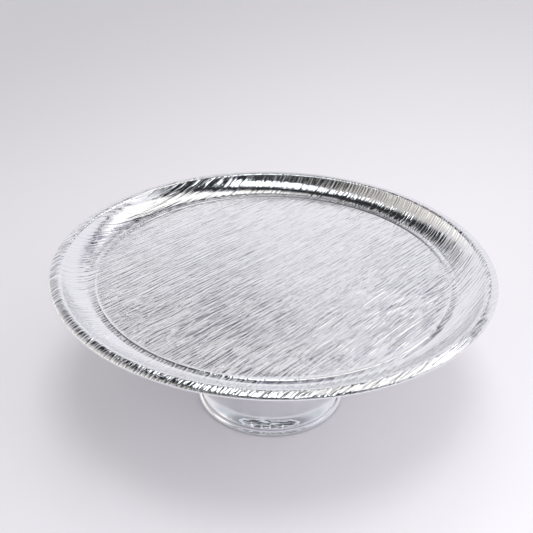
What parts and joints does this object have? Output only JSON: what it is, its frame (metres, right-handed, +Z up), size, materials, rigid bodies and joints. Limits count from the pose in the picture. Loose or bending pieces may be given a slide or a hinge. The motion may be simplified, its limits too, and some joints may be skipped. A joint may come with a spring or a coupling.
{
  "type": "cake stand",
  "caption": "Footed cake stand: a round pressed metal plate with a streaked relief and turned-over lip on a low, waisted, polished hollow pedestal.",
  "frame": {"origin": "centre of the foot on the table, at the underside of the foot pad", "axes": "+Z up along the stand's axis of revolution; +X to the right and -Y towards the viewer, with the plate's streaks running from front left to back right"},
  "size_m": [0.3, 0.3, 0.1169],
  "materials": {
    "textured_plate": "bright plated sheet with a fine pressed streak relief",
    "polished_plate": "bright plated, mirror polished",
    "zinc_steel": "zinc plated, satin",
    "dark_rubber": "matt black rubber",
    "pad_rubber": "matt dark grey rubber"
  },
  "bodies": {
    "root": {"plate": "textured_plate", "stud_disc": "zinc_steel", "stud": "zinc_steel", "seat_gasket": "dark_rubber", "pedestal": "polished_plate", "foot_ring": "polished_plate", "foot_pad": "pad_rubber", "clamp_washer": "zinc_steel", "spring_washer": "zinc_steel", "wing_nut": "zinc_steel"}
  },
  "joints": []
}
